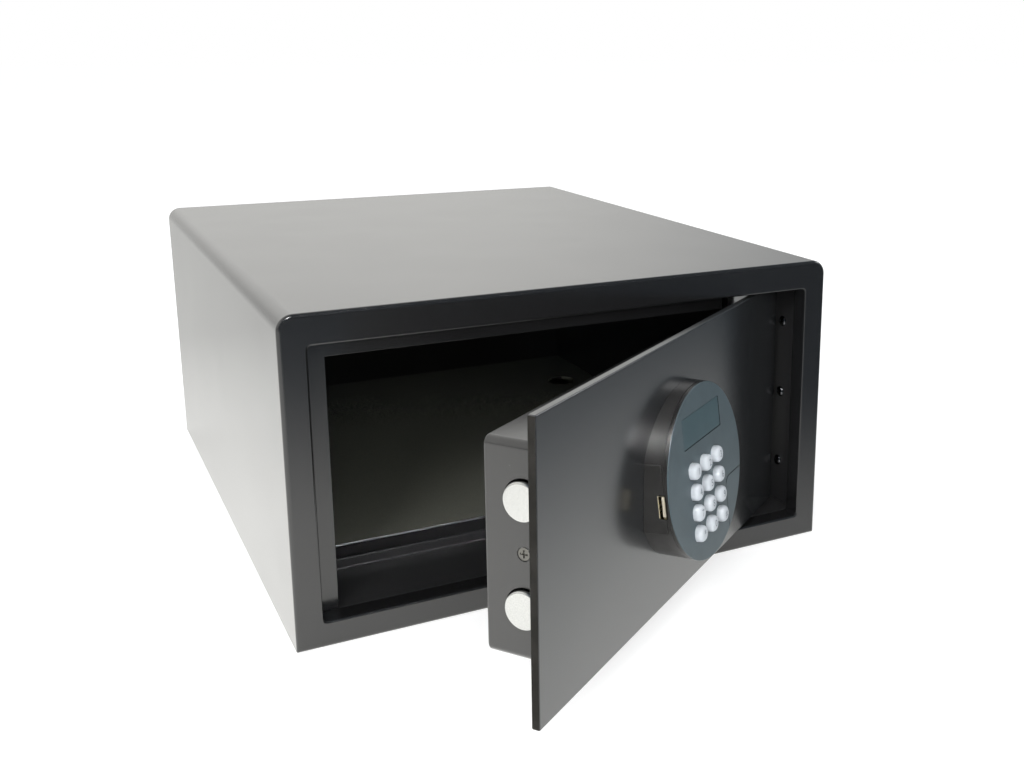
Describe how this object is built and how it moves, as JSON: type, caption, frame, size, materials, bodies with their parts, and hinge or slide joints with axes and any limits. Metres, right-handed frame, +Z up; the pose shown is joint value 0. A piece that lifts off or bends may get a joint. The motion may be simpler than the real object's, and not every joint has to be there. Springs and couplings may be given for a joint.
{
  "type": "electronic room safe",
  "caption": "Steel room safe with a rounded top, a deep rebated doorway, an inset door on hidden pins, motor bolts and a round tilted keypad, shown ajar.",
  "frame": {"origin": "centre of the underside of the body", "axes": "+X to the right seen from the front, front face towards -Y, +Z up"},
  "size_m": [0.35, 0.5752, 0.191],
  "materials": {
    "body_paint": "black powder coat, fine texture",
    "inner_paint": "black powder coat, matt",
    "door_paint": "black powder coat, satin",
    "floor_finish": "dark olive, glossy",
    "chrome": "polished",
    "steel": "zinc plated",
    "brass": "bright",
    "dark_plastic": "satin black",
    "face_film": "satin blue grey",
    "lens": "smoked, clear",
    "board": "circuit board green",
    "key_rubber": "milky white",
    "cell_jacket": "printed sleeve"
  },
  "bodies": {
    "body": {"body_shell": "body_paint", "front_frame": "body_paint", "back_panel": "body_paint", "base_plate": "body_paint", "door_stop": "inner_paint", "sill": "inner_paint", "hinge_post": "inner_paint", "hinge_header": "inner_paint", "bolt_keeper": "inner_paint", "floor_tray": "floor_finish", "hinge_bush_bottom": "brass", "hinge_bush_top": "brass", "post_screw_1": "chrome", "post_screw_2": "chrome", "post_screw_3": "chrome"},
    "door": {"door_plate": "door_paint", "bolt_box": "door_paint", "battery_cover": "door_paint", "hinge_bracket_top": "steel", "hinge_bracket_bottom": "steel", "hinge_pin_top": "steel", "hinge_pin_bottom": "steel", "box_lug_left": "steel", "box_lug_right": "steel", "box_screw_left": "steel", "box_screw_right": "steel", "bolt_guide": "steel", "motor": "steel", "cover_screw": "steel", "arm_guide": "dark_plastic", "gearbox": "dark_plastic", "battery_tray": "dark_plastic", "keypad_housing": "dark_plastic", "lock_cylinder": "brass", "usb_socket": "brass", "battery_1": "cell_jacket", "battery_2": "cell_jacket", "battery_3": "cell_jacket", "battery_4": "cell_jacket", "keypad_face": "face_film", "display_window": "lens", "keypad_board": "board"},
    "bolts": {"bolt_lower": "chrome", "bolt_upper": "chrome", "bolt_carriage": "steel"},
    "pinion": {"drive_pinion": "brass"},
    "key_cover": {"key_cover": "face_film"},
    "lock_plug": {"lock_plug": "steel"},
    "key_1": {"key_1": "key_rubber"},
    "key_2": {"key_2": "key_rubber"},
    "key_3": {"key_3": "key_rubber"},
    "key_4": {"key_4": "key_rubber"},
    "key_5": {"key_5": "key_rubber"},
    "key_6": {"key_6": "key_rubber"},
    "key_7": {"key_7": "key_rubber"},
    "key_8": {"key_8": "key_rubber"},
    "key_9": {"key_9": "key_rubber"},
    "key_star": {"key_star": "key_rubber"},
    "key_0": {"key_0": "key_rubber"},
    "key_hash": {"key_hash": "key_rubber"}
  },
  "joints": [
    {"name": "door_hinge", "type": "hinge", "parent": "body", "child": "door", "pos_m": [0.1232, -0.1894, 0.0945], "axis": [0, 0, 1], "range_deg": [-35.7, 64.3]},
    {"name": "bolt_slide", "type": "slide", "parent": "door", "child": "bolts", "axis": [-0.8121, -0.5835, 0], "range_m": [0, 0.017]},
    {"name": "pinion_turn", "type": "hinge", "parent": "door", "child": "pinion", "pos_m": [-0.01921, -0.28631, 0.1037], "axis": [-0.5835, 0.8121, 0], "range_deg": [0, 139.16]},
    {"name": "cover_pull", "type": "slide", "parent": "door", "child": "key_cover", "axis": [0.5791, -0.8059, 0.1236], "range_m": [0, 0.012]},
    {"name": "plug_turn", "type": "hinge", "parent": "door", "child": "lock_plug", "pos_m": [0.05753, -0.25087, 0.0705], "axis": [-0.5835, 0.8121, 0], "range_deg": [0, 90]},
    {"name": "key_1_press", "type": "slide", "parent": "door", "child": "key_1", "axis": [-0.5791, 0.8059, -0.1236], "range_m": [0, 0.001], "stiffness_N_per_m": 800, "springref_m": -0.0005},
    {"name": "key_2_press", "type": "slide", "parent": "door", "child": "key_2", "axis": [-0.5791, 0.8059, -0.1236], "range_m": [0, 0.001], "stiffness_N_per_m": 800, "springref_m": -0.0005},
    {"name": "key_3_press", "type": "slide", "parent": "door", "child": "key_3", "axis": [-0.5791, 0.8059, -0.1236], "range_m": [0, 0.001], "stiffness_N_per_m": 800, "springref_m": -0.0005},
    {"name": "key_4_press", "type": "slide", "parent": "door", "child": "key_4", "axis": [-0.5791, 0.8059, -0.1236], "range_m": [0, 0.001], "stiffness_N_per_m": 800, "springref_m": -0.0005},
    {"name": "key_5_press", "type": "slide", "parent": "door", "child": "key_5", "axis": [-0.5791, 0.8059, -0.1236], "range_m": [0, 0.001], "stiffness_N_per_m": 800, "springref_m": -0.0005},
    {"name": "key_6_press", "type": "slide", "parent": "door", "child": "key_6", "axis": [-0.5791, 0.8059, -0.1236], "range_m": [0, 0.001], "stiffness_N_per_m": 800, "springref_m": -0.0005},
    {"name": "key_7_press", "type": "slide", "parent": "door", "child": "key_7", "axis": [-0.5791, 0.8059, -0.1236], "range_m": [0, 0.001], "stiffness_N_per_m": 800, "springref_m": -0.0005},
    {"name": "key_8_press", "type": "slide", "parent": "door", "child": "key_8", "axis": [-0.5791, 0.8059, -0.1236], "range_m": [0, 0.001], "stiffness_N_per_m": 800, "springref_m": -0.0005},
    {"name": "key_9_press", "type": "slide", "parent": "door", "child": "key_9", "axis": [-0.5791, 0.8059, -0.1236], "range_m": [0, 0.001], "stiffness_N_per_m": 800, "springref_m": -0.0005},
    {"name": "key_star_press", "type": "slide", "parent": "door", "child": "key_star", "axis": [-0.5791, 0.8059, -0.1236], "range_m": [0, 0.001], "stiffness_N_per_m": 800, "springref_m": -0.0005},
    {"name": "key_0_press", "type": "slide", "parent": "door", "child": "key_0", "axis": [-0.5791, 0.8059, -0.1236], "range_m": [0, 0.001], "stiffness_N_per_m": 800, "springref_m": -0.0005},
    {"name": "key_hash_press", "type": "slide", "parent": "door", "child": "key_hash", "axis": [-0.5791, 0.8059, -0.1236], "range_m": [0, 0.001], "stiffness_N_per_m": 800, "springref_m": -0.0005}
  ],
  "couplings": [
    {"joint": "pinion_turn", "follows": "bolt_slide", "rad_per_m": 142.86}
  ]
}
